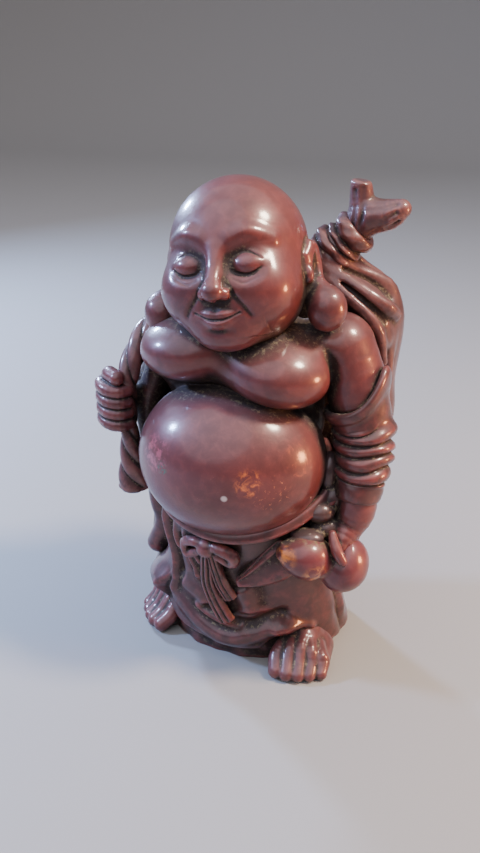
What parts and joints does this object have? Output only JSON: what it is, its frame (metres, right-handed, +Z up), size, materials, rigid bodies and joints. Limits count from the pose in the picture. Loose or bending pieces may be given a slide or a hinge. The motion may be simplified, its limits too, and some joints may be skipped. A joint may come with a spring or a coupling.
{
  "type": "laughing monk statue",
  "caption": "Free-standing cast resin ornament of a laughing monk with a bare belly, a sack over the shoulder, a gourd in the hand and a flared robe.",
  "frame": {"origin": "on the flat underside of the ground block, at floor level, under the middle of the figure", "axes": "+Z up through the crown, -Y the way the figure faces, +X to the figure's own left"},
  "size_m": [0.1194, 0.0975, 0.196],
  "materials": {
    "flesh_resin": "glossy red-brown lacquer over cast resin, with dark patina in the creases",
    "robe_resin": "glossy dark red-brown lacquer over cast resin folds, rubbed brighter on the ridges",
    "sack_resin": "glossy brown-red lacquer over cast resin, greenish dust in the gathers",
    "gourd_resin": "glossy red lacquer over cast resin, golden patina on top",
    "ground_resin": "dark glossy lacquer, bare flat underside"
  },
  "bodies": {
    "root": {"head": "flesh_resin", "left_arm": "flesh_resin", "torso": "flesh_resin", "gourd": "gourd_resin", "shoulder_strap": "sack_resin", "right_fist": "flesh_resin", "left_hand": "flesh_resin", "left_sleeve": "robe_resin", "sack_tie": "sack_resin", "sack_mouth": "sack_resin", "waistband": "robe_resin", "right_sleeve": "robe_resin", "sack": "sack_resin", "sash_knot": "robe_resin", "sash_tail_right": "robe_resin", "sash_tail_left": "robe_resin", "robe_flap": "robe_resin", "left_foot": "flesh_resin", "right_foot": "flesh_resin", "robe_skirt": "robe_resin", "ground_block": "ground_resin"}
  },
  "joints": []
}
